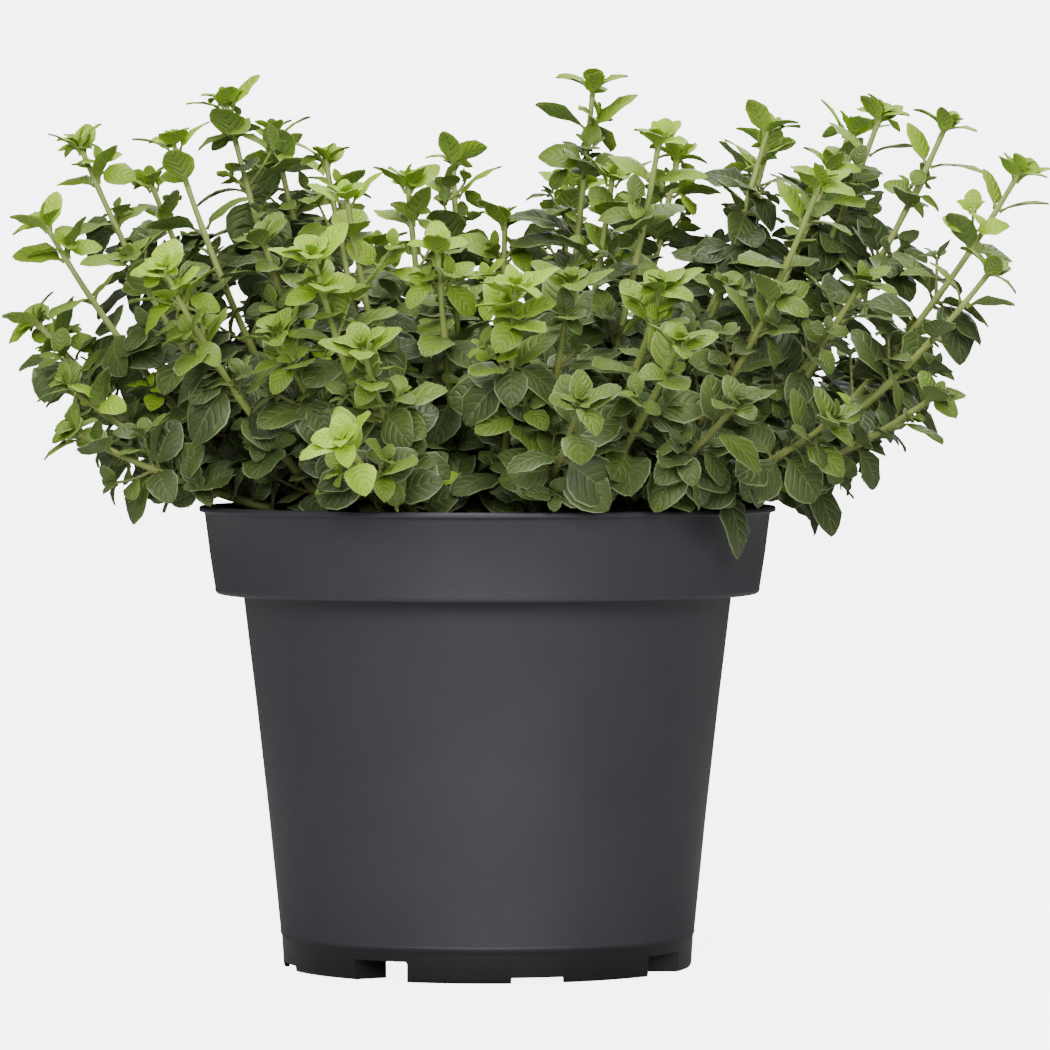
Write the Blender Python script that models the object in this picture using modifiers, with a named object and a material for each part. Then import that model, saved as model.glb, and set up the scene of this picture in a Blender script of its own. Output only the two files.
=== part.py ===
"""Oregano plant in a 13 cm plastic nursery pot.

The pot is one turned shell with drain notches in its foot. It is filled with potting
soil, and 58 leafy stems stand in plain holes in the soil. A stem is square, as on
every plant of the mint family, and carries opposite pairs of leaves, each pair turned
a quarter against the one below. Sizes are in millimetres until a mesh is written.
The origin is on the pot's axis, on the ground, and the front of the plant faces -Y.
"""
import math

import bmesh
import bpy
import numpy as np
from mathutils import Matrix

MM = 0.001
GAP = 0.3

# Pot: outer radii and heights
SIDES = 32
WALL = 1.2
LIP_RADIUS, LIP_HEIGHT, LIP_DEPTH = 65.0, 103.8, 1.1
BAND_TOP_RADIUS, BAND_FOOT_RADIUS, BAND_FOOT = 63.7, 61.3, 84.0
BODY_TOP_RADIUS = 55.0
SKIRT_RADIUS, SKIRT_HEIGHT = 46.6, 6.9
FOOT_RADIUS = 46.0
FLOOR_HEIGHT = 6.4
WELL_RADIUS = 17.0

# Drain notches and shallow steps in the foot, and drain holes in the floor
NOTCH_TURN, NOTCH_HEIGHT = -31.0, 4.5
NOTCH_OUTER, NOTCH_INNER, NOTCH_DEPTH = 14.0, 5.4, 7.0
STEP_TURN, STEP_HEIGHT, STEP_WIDTH = 14.0, 1.25, 12.0
DRAIN_CIRCLE, DRAIN_RADIUS = 31.0, 3.4

# Soil
SOIL_TOP, SOIL_ROUGHNESS = 99.3, 0.8
SOIL_SIDES, SOIL_RINGS = 22, 5

# Stems: half of the square's side at the root and at the tip
STEM_ROOT, STEM_TIP = 1.15, 0.6
ROOT_END, COLLAR = 91.0, 101.6
BASE_SHARE = 0.46
NODE_HALF = 0.8
RIB_THICKNESS = 1.15
LEAF_SECTIONS = (0.33, 0.69)
STEEP_SECTIONS, STEEP_LENGTH = (0.15, 0.48), 10.9
STALK_SHARE, STALK_HALF = 0.2, 0.55

# Tips of the stems, read off the photograph: x to the right, y away from the viewer,
# z up from the ground, and the most pairs of leaves that the stem carries
TIPS = {
    "left_high": (-93, 16, 186, 6), "left_bright": (-100, -2, 168, 6),
    "left_low": (-104, 24, 146, 5), "left_side": (-94, -15, 131, 5),
    "left_trailing": (-92, -29, 121, 5), "crown_left": (-71, 2, 186, 6),
    "crown_top": (-60, 26, 196, 5), "crown_back": (-50, 58, 190, 5),
    "crown_rear": (-78, 40, 178, 5), "front_left_bright": (-71, -45, 157, 7),
    "hairy": (-31, -40, 173, 7), "left_middle": (-37, 18, 183, 3),
    "middle_pale": (-18, -4, 177, 4), "middle_front": (-11, -40, 162, 5),
    "front_fork": (-38, -58, 160, 6), "front_low": (-27, -70, 140, 6),
    "front_shoot": (-31, -85, 120, 4), "front_bright": (6, -68, 153, 7),
    "centre_tall": (24, 8, 199, 5), "back_left": (-8, 50, 184, 5),
    "centre_left": (4, 16, 169, 3), "back_centre": (20, 70, 178, 5),
    "centre_front": (28, -14, 178, 3), "centre_pale": (38, -34, 186, 6),
    "front_centre": (18, -60, 154, 6), "front_right_tall": (38, -60, 153, 6),
    "front_right_pale": (41, -78, 141, 6), "right_crown": (64, 14, 190, 4),
    "right_rear": (66, 58, 187, 5), "right_bare": (73, -43, 176, 5),
    "right_back": (84, 38, 190, 5), "right_high": (90, 20, 193, 5),
    "right_reaching": (104, 8, 190, 6), "right_far": (119, -15, 179, 6),
    "right_outer": (112, -25, 157, 6), "right_low": (99, -34, 129, 5),
    "right_hanging": (84, -2, 116, 5), "right_front": (82, -47, 154, 6),
    "right_inner": (52, -34, 153, 4), "right_mid": (63, -53, 151, 6),
    "back_right": (44, 36, 184, 4), "right_twig": (78, 9, 181, 4),
    "right_lower": (99, 36, 143, 5), "left_inner": (-50, -20, 164, 4),
    "left_shelf": (-80, -15, 160, 5), "left_front": (-46, -52, 143, 6),
    "centre_low": (-7, -22, 150, 3), "rim_centre": (20, -84, 128, 5),
    "rim_right": (54, -72, 128, 5), "rim_far_right": (75, -62, 124, 5),
    "rear_left_low": (-84, 54, 134, 5), "rear_left": (-52, 78, 147, 5),
    "rear_rim_left": (-24, 92, 125, 5), "rear_middle": (-26, 70, 164, 5),
    "rear_rim": (10, 92, 138, 5), "rear_right": (44, 82, 150, 5),
    "rear_rim_right": (72, 76, 124, 5), "rear_right_low": (92, 60, 136, 5),
}

# Distances of the leaf pairs below the tip, and the leaves' sizes on the way down
PAIR_STEPS = (2.6, 7.5, 11.0, 13.5, 14.5, 15.0, 15.0)
LEAF_LENGTHS = (8.0, 10.0, 12.0, 13.5, 14.5, 15.0, 15.0)
LEAF_ASPECTS = (0.52, 0.58, 0.64, 0.68, 0.72, 0.74, 0.74)
LEAF_RISES = (48.0, 38.0, 26.0, 16.0, 8.0, 2.0, -4.0)
VARIANTS = ((0, 0, 1), (14, 10, 1), (-14, 10, 1), (0, -22, 1), (0, 24, 0.95), (26, -12, 0.9),
            (-26, -12, 0.9), (24, 20, 0.85), (-24, 20, 0.85), (0, -38, 0.8), (0, 40, 0.8))
CLEAR_OTHER, CLEAR_OWN, CLEAR_STEM = 2.5, 1.6, 2.8


def unit(v):
    """A vector, or rows of vectors, at length one."""
    return v / np.linalg.norm(v, axis=-1, keepdims=True)


def turned(v, axis, degrees):
    """A vector turned about a unit axis (Rodrigues' formula)."""
    a = math.radians(degrees)
    return v * math.cos(a) + np.cross(axis, v) * math.sin(a) + axis * (axis @ v) * (1 - math.cos(a))


def stem_point(tip, u):
    """Quadratic curve from the collar above the soil to the tip: outwards first, then up."""
    base = np.array([tip[0] * BASE_SHARE, tip[1] * BASE_SHARE, COLLAR])
    top = np.array(tip[:3], float)
    bend = base + (top - base) * (0.60, 0.60, 0.42)
    u = np.asarray(u, float)[..., None]
    return base * (1 - u) ** 2 + bend * 2 * u * (1 - u) + top * u ** 2


def stem_stations(tip):
    """Curve parameters of the leaf pairs, from the tip down, by the arc length."""
    u = np.linspace(0, 1, 161)
    points = stem_point(tip, u)
    below = np.linalg.norm(np.diff(points, axis=0), axis=1)[::-1].cumsum()
    depths = np.cumsum(PAIR_STEPS)[:tip[3]]
    depths = depths[depths < below[-1] - 3.0]
    return 1.0 - np.interp(depths, below, u[1:])


def stem_frames(tip, stations, spin):
    """Tangent and the first side direction at each station, carried up without twist."""
    step = 0.004
    tangents = unit(stem_point(tip, stations + step) - stem_point(tip, stations - step))
    side = np.array([math.cos(spin), math.sin(spin), 0.0])
    sides = []
    for tangent in tangents:
        side = unit(side - tangent * (side @ tangent))
        sides.append(side)
    return tangents, np.array(sides)


def blade_half_width(leaf, t):
    """Ovate outline: a short stalk, then a power of a sine, widest before the middle."""
    u = np.clip((t - 0.13) / 0.87, 0, 1)
    return np.maximum(0.5 * leaf["width"] * np.sin(np.pi * u ** 0.72) ** 0.75, 0.42 * (1 - u))


def blade_point(leaf, t, s):
    """Point of the blade: t from the root to the tip, s from -1 to 1 across it.

    The midrib is a parabola that droops away from the leaf's own direction, and the
    two halves rise from it as a shallow V.
    """
    t, s = np.broadcast_arrays(np.asarray(t, float), np.asarray(s, float))
    half = blade_half_width(leaf, t)
    rib = leaf["direction"] * t[..., None] - leaf["normal"] * (leaf["arch"] * t * t)[..., None]
    normal = unit(leaf["normal"] + leaf["direction"] * (2 * leaf["arch"] * t)[..., None])
    across = leaf["side"] * (s * half)[..., None]
    return leaf["root"] + leaf["length"] * rib + across + normal * (leaf["fold"] * half * abs(s))[..., None]


def make_leaf(root, face, tangent, length, width, rise, roll, arch, fold):
    """A leaf that leaves a side of the stem and turns its upper face to the light."""
    a = math.radians(rise)
    direction = unit(face * math.cos(a) + tangent * math.sin(a))
    light = unit(tangent + np.array([0.0, -0.25, 0.9]))
    side = turned(unit(np.cross(direction, light)), direction, roll)
    return {"root": root, "direction": direction, "side": side, "normal": np.cross(side, direction),
            "length": length, "width": width, "arch": arch, "fold": fold}


def blade_samples(leaf):
    """Five by five points of the blade, which stand for it in the test for room."""
    t, s = np.meshgrid(np.linspace(0.28, 1.0, 5), np.linspace(-1, 1, 5))
    return blade_point(leaf, t, s).reshape(-1, 3)


def above_pot(points):
    """True if no point is in the soil, in the pot or close to its lip."""
    radius = np.hypot(points[:, 0], points[:, 1])
    return not np.any((radius < LIP_RADIUS + 2.5) & (points[:, 2] < LIP_HEIGHT + 1.8))


def has_room(points, owner, placed):
    """True if the blade keeps clear of every leaf and every other stem placed so far."""
    middle = points.mean(axis=0)
    for other_owner, centre, cloud, clearance in placed:
        if np.abs(centre - middle).max() > 26.0 and clearance != CLEAR_STEM:
            continue
        if clearance == CLEAR_STEM and other_owner == owner:
            continue
        limit = CLEAR_OWN if other_owner == owner else clearance
        near = cloud[np.abs(cloud - middle).max(axis=1) < 14.0]
        if len(near) and np.linalg.norm(near[:, None] - points[None], axis=2).min() < limit:
            return False
    return above_pot(points)


def plan_plant():
    """Every stem with its stations, frames and leaves, placed in one fixed order."""
    placed = []
    stems = {}
    for index, (name, tip) in enumerate(TIPS.items()):
        path = stem_point(tip, np.linspace(0, 1, 50))
        placed.append((name, path.mean(axis=0), path, CLEAR_STEM))
        stations = stem_stations(tip)
        spin = np.random.RandomState(100 + index).uniform(0, math.pi / 2)
        order = stations[::-1]
        tangents, sides = stem_frames(tip, order, spin)
        stems[name] = {"tip": tip, "spin": spin, "stations": order, "tangents": tangents,
                       "sides": sides, "leaves": {}}
    for level in range(len(PAIR_STEPS)):
        for index, (name, stem) in enumerate(stems.items()):
            place_pair(stem, name, index, level, placed)
    return stems


def place_pair(stem, name, index, level, placed):
    """The two opposite leaves of one level, counted from the tip, where they find room."""
    count = len(stem["stations"])
    if level >= count:
        return
    ring = count - 1 - level
    draw = np.random.RandomState(1000 + 20 * index + level)
    tangent, side = stem["tangents"][ring], stem["sides"][ring]
    root = stem_point(stem["tip"], stem["stations"][ring])
    narrow = 0.8 if stem["tip"][0] > 75 and stem["tip"][2] > 150 else 1.0
    for half in (0, 2):
        corner = (level % 2 + half) % 4
        length = LEAF_LENGTHS[level] * draw.uniform(0.88, 1.1)
        width = length * LEAF_ASPECTS[level] * narrow * draw.uniform(0.92, 1.08)
        rise = LEAF_RISES[level] + draw.uniform(-14, 12)
        roll, swing = draw.uniform(-22, 22), draw.uniform(-12, 12)
        arch, fold = draw.uniform(0.08, 0.34), draw.uniform(0.12, 0.34)
        for turn, lift, shrink in VARIANTS:
            face = turned(side, tangent, 90 * corner)
            aim = turned(face, tangent, swing + turn)
            steep = min(max(rise + lift, -28), 58 if level else 48)
            leaf = make_leaf(root + face * stem_half(stem, ring), aim, tangent, length * shrink,
                             width * shrink, steep, roll, arch, fold)
            points = blade_samples(leaf)
            if has_room(points, name, placed):
                placed.append((name, points.mean(axis=0), points, CLEAR_OTHER))
                stem["leaves"][ring, corner] = leaf
                break


def stem_half(stem, ring):
    """Half the side of the square stem at a ring of leaves."""
    share = stem["stations"][ring]
    return STEM_ROOT + (STEM_TIP - STEM_ROOT) * share


def fresh_scene():
    """Remove what the start-up file holds."""
    for thing in list(bpy.data.objects):
        bpy.data.objects.remove(thing)
    for group in list(bpy.data.collections):
        bpy.data.collections.remove(group)


def new_collection(name):
    group = bpy.data.collections.new(name)
    bpy.context.scene.collection.children.link(group)
    return group


def new_material(name, colour, roughness):
    """A Principled material from an sRGB hex colour."""
    channels = [int(colour[i:i + 2], 16) / 255 for i in (0, 2, 4)]
    linear = [c / 12.92 if c <= 0.04045 else ((c + 0.055) / 1.055) ** 2.4 for c in channels]
    material = bpy.data.materials.new(name)
    material.use_nodes = True
    shader = material.node_tree.nodes["Principled BSDF"]
    shader.inputs["Base Color"].default_value = (*linear, 1.0)
    shader.inputs["Roughness"].default_value = roughness
    shader.inputs["Metallic"].default_value = 0.0
    return material


def new_object(name, mesh_data, group, material=None):
    """Write a bmesh, still in millimetres, to a named object in metres."""
    bmesh.ops.scale(mesh_data, vec=(MM, MM, MM), verts=mesh_data.verts)
    mesh = bpy.data.meshes.new(name)
    mesh_data.to_mesh(mesh)
    mesh_data.free()
    thing = bpy.data.objects.new(name, mesh)
    group.objects.link(thing)
    if material:
        mesh.materials.append(material)
    return thing


def as_cutter(thing):
    thing.hide_render = True
    thing.display_type = "WIRE"
    return thing


def add_boolean(thing, cutter, operation):
    step = thing.modifiers.new(cutter.name, "BOOLEAN")
    step.operation = operation
    step.object = cutter
    step.solver = "EXACT"


def wedge(mesh_data, azimuth, outer, inner, low, high):
    """A block along a radius: outer and inner are (radius, width), azimuth from the front."""
    block = bmesh.ops.create_cube(mesh_data, size=2.0)["verts"]
    for vert in block:
        radius, width = outer if vert.co.x > 0 else inner
        height = high if vert.co.z > 0 else low
        vert.co = (radius, math.copysign(width / 2, vert.co.y), height)
    turn = Matrix.Rotation(math.radians(azimuth - 90), 4, "Z")
    bmesh.ops.transform(mesh_data, matrix=turn, verts=block)


def notch_width(radius):
    """Width of a drain notch, which narrows from the foot's face inwards."""
    taper = (NOTCH_OUTER - NOTCH_INNER) / NOTCH_DEPTH
    return NOTCH_OUTER - taper * (FOOT_RADIUS - radius)


def pot_profile():
    """Section of the pot: up the inner side, over the lip, down the outer side, to the axis."""
    inner_body = BODY_TOP_RADIUS - WALL
    shoulder = BAND_FOOT + WALL
    band_inner = BAND_FOOT_RADIUS - WALL
    lip_inner = BAND_TOP_RADIUS - WALL
    lip_foot = LIP_HEIGHT - LIP_DEPTH
    underside = FLOOR_HEIGHT - WALL
    floor_edge = SKIRT_RADIUS - WALL - 0.4
    return [
        (0, WALL), (WELL_RADIUS, WALL), (WELL_RADIUS + 1.6, FLOOR_HEIGHT), (floor_edge, FLOOR_HEIGHT),
        (inner_body, shoulder), (band_inner, shoulder), (lip_inner, LIP_HEIGHT),
        (LIP_RADIUS - 0.35, LIP_HEIGHT), (LIP_RADIUS, LIP_HEIGHT - 0.35), (LIP_RADIUS, lip_foot + 0.1),
        (BAND_TOP_RADIUS, lip_foot), (BAND_FOOT_RADIUS, BAND_FOOT + 0.9),
        (BAND_FOOT_RADIUS - 0.8, BAND_FOOT), (BODY_TOP_RADIUS, BAND_FOOT),
        (SKIRT_RADIUS, SKIRT_HEIGHT), (SKIRT_RADIUS - 0.4, SKIRT_HEIGHT - 0.3), (FOOT_RADIUS, 0),
        (FOOT_RADIUS - WALL, 0), (FOOT_RADIUS - WALL + 0.2, underside), (WELL_RADIUS + 2.8, underside),
        (WELL_RADIUS + 1.2, 0), (0, 0),
    ]


def build_pot(group, cutters, material):
    """The turned shell, with four notch housings joined and the notches and holes cut."""
    profile = bmesh.new()
    points = [profile.verts.new((radius, 0, height)) for radius, height in pot_profile()]
    for first, second in zip(points, points[1:]):
        profile.edges.new((first, second))
    pot = new_object("pot", profile, group, material)
    screw = pot.modifiers.new("turn", "SCREW")
    screw.steps = screw.render_steps = SIDES
    screw.use_merge_vertices = True
    screw.merge_threshold = 0.00001
    housings = bmesh.new()
    notches = bmesh.new()
    inside = FOOT_RADIUS - NOTCH_DEPTH
    for quarter in range(4):
        azimuth = NOTCH_TURN + 90 * quarter
        wedge(housings, azimuth, (FOOT_RADIUS - 1.0, notch_width(FOOT_RADIUS - 1.0) + 2 * WALL),
              (inside, NOTCH_INNER + 2 * WALL), 0.02, FLOOR_HEIGHT - 0.6)
        wedge(notches, azimuth, (FOOT_RADIUS + 2, notch_width(FOOT_RADIUS + 2)),
              (inside - 1, notch_width(inside - 1)), -1.0, NOTCH_HEIGHT)
        wedge(notches, STEP_TURN + 90 * quarter, (FOOT_RADIUS + 2, STEP_WIDTH),
              (FOOT_RADIUS - 4, STEP_WIDTH), -1.0, STEP_HEIGHT)
        turn = math.radians(STEP_TURN + 90 * quarter)
        place = Matrix.Translation((DRAIN_CIRCLE * math.cos(turn), DRAIN_CIRCLE * math.sin(turn), FLOOR_HEIGHT))
        bmesh.ops.create_cone(notches, cap_ends=True, segments=8, radius1=DRAIN_RADIUS,
                              radius2=DRAIN_RADIUS, depth=6.0, matrix=place)
    add_boolean(pot, as_cutter(new_object("notch_housings", housings, cutters)), "UNION")
    add_boolean(pot, as_cutter(new_object("notches", notches, cutters)), "DIFFERENCE")
    return pot


def soil_rings():
    """Radius and height of the soil's rings from the bottom centre round to the top centre."""
    floor = FLOOR_HEIGHT + GAP
    wall_low = SKIRT_RADIUS - WALL - 0.4 - GAP
    wall_high = BODY_TOP_RADIUS - WALL - GAP
    shoulder = BAND_FOOT + WALL + GAP
    slope = (BAND_TOP_RADIUS - BAND_FOOT_RADIUS) / (LIP_HEIGHT - BAND_FOOT)
    shoulder_radius = BAND_FOOT_RADIUS - WALL - GAP - 0.15
    top_radius = shoulder_radius + slope * (SOIL_TOP - shoulder)
    sides = [(WELL_RADIUS - 0.5, WALL + GAP), (WELL_RADIUS + 0.9, floor), (wall_low - 0.2, floor),
             (wall_high - 0.15, shoulder), (shoulder_radius, shoulder), (top_radius, SOIL_TOP)]
    top = [(top_radius * share / SOIL_RINGS, SOIL_TOP) for share in range(SOIL_RINGS - 1, 0, -1)]
    return sides, top


def build_soil(stems, group, cutters, material):
    """Potting soil that fills the pot, with an uneven top and a square hole for every stem."""
    draw = np.random.RandomState(7)
    sides, top = soil_rings()
    soil = bmesh.new()
    low = soil.verts.new((0, 0, WALL + GAP))
    rings = []
    for count, (radius, height) in enumerate(sides + top):
        ring = []
        for k in range(SOIL_SIDES):
            angle = 2 * math.pi * (k + 0.5 * (count >= len(sides)) * (count % 2)) / SOIL_SIDES
            lift = draw.uniform(-1, 1) * SOIL_ROUGHNESS if count >= len(sides) else 0
            ring.append(soil.verts.new((radius * math.cos(angle), radius * math.sin(angle), height + lift)))
        rings.append(ring)
    high = soil.verts.new((0, 0, SOIL_TOP + 0.3))
    for k in range(SOIL_SIDES):
        after = (k + 1) % SOIL_SIDES
        soil.faces.new((low, rings[0][after], rings[0][k]))
        soil.faces.new((high, rings[-1][k], rings[-1][after]))
        for first, second in zip(rings, rings[1:]):
            soil.faces.new((first[k], first[after], second[after], second[k]))
    bmesh.ops.recalc_face_normals(soil, faces=soil.faces)
    bmesh.ops.triangulate(soil, faces=soil.faces)
    thing = new_object("soil", soil, group, material)
    holes = bmesh.new()
    half = STEM_ROOT + GAP + 0.05
    for stem in stems.values():
        x, y, _ = stem_point(stem["tip"], 0)
        place = (Matrix.Translation((x, y, (ROOT_END + COLLAR + 3) / 2))
                 @ Matrix.Rotation(stem["spin"], 4, "Z")
                 @ Matrix.Diagonal((half, half, (COLLAR + 3 - ROOT_END) / 2 + GAP, 1)))
        bmesh.ops.create_cube(holes, size=2.0, matrix=place)
    add_boolean(thing, as_cutter(new_object("stem_holes", holes, cutters)), "DIFFERENCE")
    return thing


def square_ring(mesh_data, centre, tangent, side, half):
    """Four corners of the stem; side points at the middle of its first face."""
    other = np.cross(tangent, side)
    corners = ((1, -1), (1, 1), (-1, 1), (-1, -1))
    return [mesh_data.verts.new(centre + half * (a * side + b * other)) for a, b in corners]


def loft(mesh_data, first, second):
    """Triangles between two loops of four points, split alike all round, the shorter way."""
    ahead = sum((first[k].co - second[(k + 1) % 4].co).length for k in range(4))
    behind = sum((first[(k + 1) % 4].co - second[k].co).length for k in range(4))
    for k in range(4):
        after = (k + 1) % 4
        if ahead < behind:
            mesh_data.faces.new((first[k], first[after], second[after]))
            mesh_data.faces.new((first[k], second[after], second[k]))
        else:
            mesh_data.faces.new((first[k], first[after], second[k]))
            mesh_data.faces.new((first[after], second[after], second[k]))


def nearest_turn(loop, section):
    """The loop, started at the corner and run the way that twist its loft least."""
    turns = [way[k:] + way[:k] for way in (loop, loop[::-1]) for k in range(4)]
    return min(turns, key=lambda turn: sum((a.co - b.co).length for a, b in zip(turn, section)))


def leaf_section(mesh_data, leaf, t):
    """Four points across the leaf: rib, edge, keel, edge.

    In the stalk they are a small diamond, and near the stem the upper face is still flat.
    """
    normal = unit(leaf["normal"] + leaf["direction"] * 2 * leaf["arch"] * t)
    rib = blade_point(leaf, t, 0)
    if t < STALK_SHARE:
        reach = leaf["side"] * STALK_HALF
        places = (rib + normal * STALK_HALF, rib + reach, rib - normal * STALK_HALF, rib - reach)
    else:
        keel = rib - normal * RIB_THICKNESS * (1.2 - 0.4 * t)
        edges = blade_point(leaf, t, 1), blade_point(leaf, t, -1)
        if t < 0.4:
            rib = (edges[0] + edges[1]) / 2
        places = (rib, edges[0], keel, edges[1])
    return [mesh_data.verts.new(place) for place in places]


def grow_leaf(mesh_data, quad, leaf):
    """A blade out of a side of the stem: two sections and the tip, on a stalk if it is steep."""
    shares = LEAF_SECTIONS if leaf["length"] > STEEP_LENGTH else STEEP_SECTIONS
    loop = quad
    for t in shares:
        section = leaf_section(mesh_data, leaf, t)
        if loop is quad:
            loop = nearest_turn(quad, section)
        loft(mesh_data, loop, section)
        loop = section
    tip = mesh_data.verts.new(blade_point(leaf, 1.0, 0) - leaf["normal"] * 0.2)
    for k in range(4):
        mesh_data.faces.new((loop[k], loop[(k + 1) % 4], tip))


def build_stem(name, stem, group, material):
    """A square stem from its root in the soil to a small bud, with its leaves grown out of it."""
    tip = stem["tip"]
    mesh_data = bmesh.new()
    upright = np.array([0.0, 0.0, 1.0])
    start = np.array([math.cos(stem["spin"]), math.sin(stem["spin"]), 0.0])
    base = stem_point(tip, 0)
    rings = [square_ring(mesh_data, base + upright * (ROOT_END - COLLAR), upright, start, STEM_ROOT),
             square_ring(mesh_data, base, upright, start, STEM_ROOT)]
    leafed = {}
    for ring, (tangent, side) in enumerate(zip(stem["tangents"], stem["sides"])):
        half = stem_half(stem, ring)
        centre = stem_point(tip, stem["stations"][ring])
        leafed[len(rings)] = ring
        rings.append(square_ring(mesh_data, centre - tangent * NODE_HALF, tangent, side, half))
        rings.append(square_ring(mesh_data, centre + tangent * NODE_HALF, tangent, side, half * 0.94))
    mesh_data.faces.new(rings[0][::-1])
    bud = mesh_data.verts.new(stem_point(tip, 1.0))
    for k in range(4):
        mesh_data.faces.new((rings[-1][k], rings[-1][(k + 1) % 4], bud))
    for lower in range(len(rings) - 1):
        for k in range(4):
            after = (k + 1) % 4
            quad = [rings[lower][k], rings[lower][after], rings[lower + 1][after], rings[lower + 1][k]]
            leaf = stem["leaves"].get((leafed.get(lower), k))
            if leaf:
                grow_leaf(mesh_data, quad, leaf)
            else:
                mesh_data.faces.new(quad)
    bmesh.ops.recalc_face_normals(mesh_data, faces=mesh_data.faces)
    return new_object("stem_" + name, mesh_data, group, material)


def build():
    fresh_scene()
    plant = new_collection("oregano_plant")
    cutters = new_collection("cutters")
    plastic = new_material("pot_plastic", "3f3f45", 0.55)
    peat = new_material("potting_soil", "2c2018", 0.95)
    green = new_material("oregano_green", "5f8c3c", 0.6)
    stems = plan_plant()
    build_pot(plant, cutters, plastic)
    build_soil(stems, plant, cutters, peat)
    for name, stem in stems.items():
        build_stem(name, stem, plant, green)


build()
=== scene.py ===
import math

import bpy
import numpy as np
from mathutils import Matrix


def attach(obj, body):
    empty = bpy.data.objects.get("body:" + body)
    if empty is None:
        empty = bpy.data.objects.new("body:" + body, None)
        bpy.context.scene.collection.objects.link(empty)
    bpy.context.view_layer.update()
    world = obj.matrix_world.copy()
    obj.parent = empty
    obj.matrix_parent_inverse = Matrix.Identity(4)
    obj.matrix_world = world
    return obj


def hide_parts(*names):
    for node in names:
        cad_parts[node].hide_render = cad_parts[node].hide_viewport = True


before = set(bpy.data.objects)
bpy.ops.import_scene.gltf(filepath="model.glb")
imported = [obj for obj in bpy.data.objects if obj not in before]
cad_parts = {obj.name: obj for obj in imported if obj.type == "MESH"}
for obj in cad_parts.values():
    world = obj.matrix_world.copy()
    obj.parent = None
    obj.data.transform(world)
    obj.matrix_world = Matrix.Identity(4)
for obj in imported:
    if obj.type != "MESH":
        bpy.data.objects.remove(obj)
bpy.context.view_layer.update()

# Stage and camera
# A pale sheet under the plant before a white surround, and a long lens at the height of
# the foliage, looking very slightly down, as in the photograph.
MM = 0.001
EYE = (0.0, -1.5, 0.141)
LENS = 228.0
PITCH_DOWN, YAW_RIGHT = 1.59, 0.323


def linear(code):
    """An sRGB hex colour as linear red, green, blue and alpha."""
    channels = [int(code[i:i + 2], 16) / 255 for i in (0, 2, 4)]
    return (*(c / 12.92 if c <= 0.04045 else ((c + 0.055) / 1.055) ** 2.4 for c in channels), 1.0)


def add_node(tree, kind, inputs=None, output=0, stops=(), **settings):
    """A shader node of a kind, such as Math, with its settings; gives one of its outputs.

    Inputs go by the name or number of their socket, and each is a socket, a number, a
    vector or the hex text of a colour. Stops are the (position, hex) pairs of a ramp.
    """
    node = tree.nodes.new("ShaderNode" + kind)
    for name, value in settings.items():
        setattr(node, name, value)
    for key, value in (inputs or {}).items():
        if isinstance(value, bpy.types.NodeSocket):
            tree.links.new(value, node.inputs[key])
        else:
            node.inputs[key].default_value = linear(value) if isinstance(value, str) else value
    if stops:
        band = node.color_ramp.elements
        while len(band) < len(stops):
            band.new(0.5)
        for element, (position, code) in zip(band, stops):
            element.position = position
            element.color = linear(code)
    return node.outputs[output]


def new_material(name, **values):
    """A material, its node tree and its Principled shader, whose plain sockets are set here."""
    material = bpy.data.materials.new(name)
    material.use_nodes = True
    tree = material.node_tree
    shader = tree.nodes["Principled BSDF"]
    for key, value in values.items():
        value = linear(value) if isinstance(value, str) else value
        shader.inputs[key.replace("_", " ")].default_value = value
    return material, tree, shader


def write_mesh(name, points, faces, material, smooth_angle=50.0, layers=None, uv=None):
    """A mesh object from points in millimetres, with point layers and a UV map if given."""
    mesh = bpy.data.meshes.new(name)
    mesh.from_pydata((points * MM).tolist(), [], faces.tolist() if hasattr(faces, "tolist") else faces)
    for key, values in (layers or {}).items():
        mesh.attributes.new(key, "FLOAT", "POINT").data.foreach_set("value", values.astype(np.float32))
    if uv is not None:
        corners = np.empty(len(mesh.loops), dtype=np.int32)
        mesh.loops.foreach_get("vertex_index", corners)
        mesh.uv_layers.new(name="blade").data.foreach_set("uv", uv[corners].astype(np.float32).ravel())
    mesh.materials.append(material)
    mesh.shade_smooth()
    mesh.set_sharp_from_angle(angle=math.radians(smooth_angle))
    thing = bpy.data.objects.new(name, mesh)
    bpy.context.scene.collection.objects.link(thing)
    return thing


def floor_sheet():
    """A flat matt sheet under the plant: four corners, a little below the pot's foot.

    It glows for the camera alone, so that it is as white as the surround, and is a plain
    grey sheet to the rest of the light.
    """
    left, right, front, back, z = -1500, 1500, -1300, 450, -0.05
    paper, tree, shader = new_material(
        "matt_paper", Base_Color="a8a8a8", Roughness=0.9, Specular_IOR_Level=0.2, Emission_Strength=5.5)
    seen = add_node(tree, "LightPath", output="Is Camera Ray")
    glow = add_node(tree, "Mix", {0: seen, 6: "000000", 7: "ffffff"}, 2, data_type="RGBA")
    tree.links.new(glow, shader.inputs["Emission Color"])
    corners = np.array([(left, front, z), (right, front, z), (right, back, z), (left, back, z)])
    return write_mesh("floor", corners, [(0, 1, 2, 3)], paper)


def soft_light(name, place, aim, size, power):
    """A square area light at place, turned towards aim; metres and watts."""
    lamp = bpy.data.lights.new(name, "AREA")
    lamp.size = size
    lamp.energy = power
    thing = bpy.data.objects.new(name, lamp)
    bpy.context.scene.collection.objects.link(thing)
    direction = np.array(aim) - np.array(place)
    thing.location = place
    yaw = math.atan2(direction[1], direction[0]) - math.pi / 2
    tilt = math.atan2(direction[2], math.hypot(direction[0], direction[1]))
    thing.rotation_euler = (math.pi / 2 + tilt, 0, yaw)


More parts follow.
